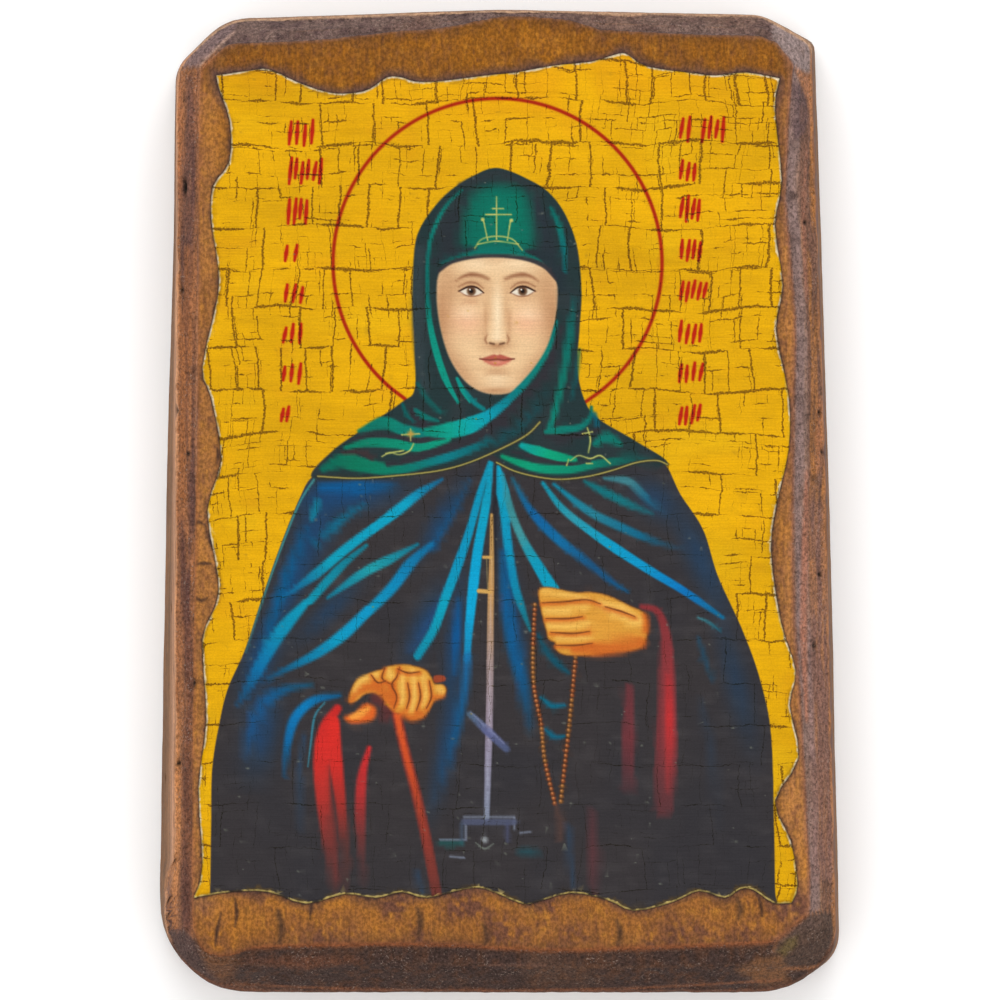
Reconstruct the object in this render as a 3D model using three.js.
// Icon panel: a hewn pine board with a torn-edged picture sheet glued on its face.
// Millimetres. The panel lies on its back: +Z leaves the picture, +Y points to its head.
import * as THREE from 'three';

const BOARD_THICKNESS = 18;
const SHEET_THICKNESS = 0.4;
const BACK_EASE = 0.5;

// The hewn edge is two facets: a shallow one next to the face and a steep one outside it.
const SHALLOW_SLOPE = Math.tan(THREE.MathUtils.degToRad(24));
const STEEP_SLOPE = Math.tan(THREE.MathUtils.degToRad(50));
const SHALLOW_SHARE = 0.45;

// Corners of the sawn outline, counter-clockwise from the lower left.
// soften: length over which the corner is rounded. lean: how far the side leans in above it.
// steps: stations along the straight run to the next corner.
const BOARD_CORNERS = [
  { x: -28.8, y: -50.0, soften: 3.3, lean: [0.1, 0.0], steps: 12 },
  { x: 29.3, y: -50.0, soften: 3.2, lean: [-0.1, 0.0], steps: 1 },
  { x: 34.75, y: -46.2, soften: 2.3, lean: [-0.5, 0.2], steps: 10 },
  { x: 33.7, y: 1.0, soften: 0.0, lean: [-0.5, 0.0], steps: 10 },
  { x: 32.2, y: 46.6, soften: 0.8, lean: [-0.5, -0.3], steps: 2 },
  { x: 26.7, y: 49.5, soften: 1.2, lean: [-0.1, -0.3], steps: 6 },
  { x: 0.0, y: 50.05, soften: 3.7, lean: [0.0, -0.4], steps: 6 },
  { x: -28.0, y: 49.1, soften: 2.5, lean: [0.2, -0.4], steps: 1 },
  { x: -33.1, y: 44.0, soften: 1.6, lean: [0.3, -0.2], steps: 4 },
  { x: -33.3, y: 27.4, soften: 0.0, lean: [0.5, 0.0], steps: 6 },
  { x: -34.1, y: 1.0, soften: 0.0, lean: [1.2, 0.0], steps: 8 },
  { x: -34.7, y: -36.5, soften: 0.0, lean: [1.6, 0.0], steps: 1 },
  { x: -34.7, y: -44.8, soften: 4.0, lean: [0.2, 0.1], steps: 1 },
];
const CORNER_STEPS = 6;

// Line where the flat face ends and the hewing starts, wavy as the drawknife left it.
const FACE_LINE = [
  [-30.1, 44.1], [-30.4, 41.6], [-30.5, 25.4], [-30.6, 7.1], [-30.8, -6.1], [-31.1, -24.4],
  [-31.1, -43.1], [-30.4, -45.2], [-28.9, -46.3], [-26.3, -45.9], [-25.2, -45.3], [-18.8, -45.0],
  [-10.1, -44.8], [-4.3, -44.9], [0.8, -45.4], [5.8, -45.7], [9.3, -45.5], [15.3, -45.3],
  [21.1, -45.0], [27.0, -44.8], [28.5, -44.1], [30.8, -42.2], [31.6, -40.6], [31.1, -34.1],
  [30.6, -23.8], [30.3, -19.3], [29.7, -11.2], [29.6, -1.4], [29.7, 10.1], [30.0, 17.1],
  [29.3, 25.4], [28.8, 30.4], [29.1, 37.2], [29.4, 42.0], [29.7, 44.0], [27.6, 47.0],
  [20.2, 47.1], [10.2, 47.6], [6.3, 48.9], [0.1, 49.0], [-2.4, 48.5], [-5.8, 47.7],
  [-10.1, 47.5], [-18.6, 46.5], [-27.4, 46.2],
];

// Every section of the edge is taken towards this length of the board's middle line.
const SPINE_HALF = 15;

// Crests and hollows of the torn sheet, one run for each side, meeting at its sharp corners.
const TORN_EDGES = [
  [
    [-31.0, -40.3], [-27.2, -39.7], [-23.4, -39.7], [-19.6, -40.9], [-15.7, -39.9], [-12.5, -40.3],
    [-9.9, -39.7], [-7.4, -40.3], [-3.5, -39.4], [-1.4, -39.4], [2.0, -40.8], [3.5, -40.8],
    [7.2, -39.8], [10.9, -40.5], [13.6, -41.6], [17.6, -40.7], [20.2, -39.6], [22.8, -40.3],
    [24.4, -39.4], [25.7, -39.5], [27.7, -40.8], [29.6, -40.8],
  ],
  [
    [29.6, -40.8], [30.2, -39.0], [29.5, -34.5], [27.9, -30.5], [30.3, -26.1], [29.4, -20.8],
    [30.0, -17.3], [28.5, -12.3], [27.5, -5.0], [28.2, 0.1], [29.3, 5.1], [29.3, 10.5],
    [28.0, 17.2], [28.7, 21.7], [27.9, 27.8], [28.6, 32.3], [27.9, 39.5], [28.4, 42.7],
  ],
  [
    [28.4, 42.7], [25.0, 43.3], [21.9, 43.0], [19.9, 43.2], [15.0, 43.9], [13.0, 45.1],
    [12.0, 45.2], [9.3, 44.4], [5.4, 44.0], [1.6, 43.3], [-1.4, 43.0], [-6.2, 42.4],
    [-8.6, 42.4], [-9.9, 42.8], [-11.4, 42.8], [-13.2, 41.6], [-15.1, 41.2], [-17.4, 41.3],
    [-20.4, 42.3], [-23.3, 43.6], [-25.2, 43.5], [-28.7, 43.0],
  ],
  [
    [-28.7, 43.0], [-28.4, 41.6], [-27.3, 38.2], [-27.4, 34.2], [-29.0, 31.8], [-29.2, 28.4],
    [-28.5, 23.5], [-28.6, 20.3], [-30.1, 13.4], [-29.2, 10.3], [-28.2, 4.1], [-29.6, -1.1],
    [-28.5, -7.9], [-28.8, -10.8], [-30.1, -14.2], [-29.7, -22.3], [-30.5, -29.2], [-30.1, -37.1],
    [-31.0, -40.3],
  ],
];
const TEAR_STEPS = 3;

const toVector = ([x, y]) => new THREE.Vector2(x, y);
const moveTowards = (from, to, length) => to.clone().sub(from).setLength(length).add(from);

/** Stations round a closed outline: each corner eased by a curve, each straight run divided. */
function outlineStations(points, corners) {
  const stations = [];
  corners.forEach(({ soften, steps }, index) => {
    const following = (index + 1) % corners.length;
    const corner = points[index];
    const next = points[following];
    const start = moveTowards(corner, points.at(index - 1), soften);
    const end = moveTowards(corner, next, soften);
    const eased = new THREE.QuadraticBezierCurve(start, corner, end).getPoints(CORNER_STEPS);
    stations.push(...(soften > 0 ? eased : [corner]));
    const runEnd = moveTowards(next, corner, corners[following].soften);
    for (let step = 1; step < steps; step += 1) {
      stations.push(end.clone().lerp(runEnd, step / steps));
    }
  });
  return stations;
}

/** Nearest point of the board's middle length. */
function spinePoint(point) {
  return new THREE.Vector2(0, THREE.MathUtils.clamp(point.y, -SPINE_HALF, SPINE_HALF));
}

/** Point where the way from a station to the spine crosses the closed face line. */
function crossFaceLine(station) {
  const way = spinePoint(station).sub(station);
  let nearest = 1;
  FACE_LINE.map(toVector).forEach((first, index, line) => {
    const run = line[(index + 1) % line.length].clone().sub(first);
    const offset = first.clone().sub(station);
    const turn = way.cross(run);
    const along = offset.cross(run) / turn;
    const across = offset.cross(way) / turn;
    if (along > 0 && across >= 0 && across <= 1) nearest = Math.min(nearest, along);
  });
  return station.clone().addScaledVector(way, nearest);
}

/** The five rings of the board, from the eased back edge up to the flat face. */
function boardRings() {
  const corners = BOARD_CORNERS.map(({ x, y }) => new THREE.Vector2(x, y));
  const leaned = BOARD_CORNERS.map(({ x, y, lean }) => new THREE.Vector2(x + lean[0], y + lean[1]));
  const foot = outlineStations(corners, BOARD_CORNERS);
  const arris = outlineStations(leaned, BOARD_CORNERS);
  const back = foot.map((point) => moveTowards(point, spinePoint(point), BACK_EASE));
  const face = arris.map(crossFaceLine);
  const ridge = face.map((point, index) => point.clone().lerp(arris[index], SHALLOW_SHARE));
  const ridgeDrops = face.map((point, index) => point.distanceTo(ridge[index]) * SHALLOW_SLOPE);
  const arrisDrops = ridge.map((point, index) => point.distanceTo(arris[index]) * STEEP_SLOPE);
  const lift = (ring, height) => ring.map(({ x, y }, index) => new THREE.Vector3(x, y, height(index)));
  return [
    lift(back, () => 0),
    lift(foot, () => BACK_EASE),
    lift(arris, (index) => BOARD_THICKNESS - ridgeDrops[index] - arrisDrops[index]),
    lift(ridge, (index) => BOARD_THICKNESS - ridgeDrops[index]),
    lift(face, () => BOARD_THICKNESS),
  ];
}

/** Closed skin over rings of equal count, with a flat cap on the first and the last. */
function loftGeometry(rings) {
  const count = rings[0].length;
  const triangles = [];
  for (let ring = 0; ring < rings.length - 1; ring += 1) {
    for (let index = 0; index < count; index += 1) {
      const next = (index + 1) % count;
      const [a, b] = [ring * count + index, ring * count + next];
      triangles.push(a, b, b + count, a, b + count, a + count);
    }
  }
  const caps = [rings[0], rings.at(-1)].map((ring) => THREE.ShapeUtils.triangulateShape(ring, []));
  const top = (rings.length - 1) * count;
  caps[0].forEach(([a, b, c]) => triangles.push(c, b, a));
  caps[1].forEach(([a, b, c]) => triangles.push(top + a, top + b, top + c));
  const geometry = new THREE.BufferGeometry().setFromPoints(rings.flat());
  geometry.setIndex(triangles);
  geometry.computeVertexNormals();
  return geometry;
}

/** The hewn board, stained brown. */
function woodenBoard() {
  const material = new THREE.MeshStandardMaterial({ color: 0x7b5230, roughness: 0.75 });
  const board = new THREE.Mesh(loftGeometry(boardRings()), material);
  board.name = 'wooden_board';
  return board;
}

/** The printed picture sheet, torn along all four sides. */
function pictureSheet() {
  const outline = TORN_EDGES.flatMap((edge) => {
    const curve = new THREE.SplineCurve(edge.map(toVector));
    return curve.getPoints((edge.length - 1) * TEAR_STEPS).slice(0, -1);
  });
  const geometry = new THREE.ExtrudeGeometry(new THREE.Shape(outline), {
    depth: SHEET_THICKNESS,
    bevelEnabled: false,
  });
  const material = new THREE.MeshStandardMaterial({ color: 0xd9a908, roughness: 0.45 });
  const sheet = new THREE.Mesh(geometry, material);
  sheet.position.z = BOARD_THICKNESS;
  sheet.name = 'picture_sheet';
  return sheet;
}

const iconPanel = new THREE.Group();
iconPanel.add(woodenBoard(), pictureSheet());

export default iconPanel;
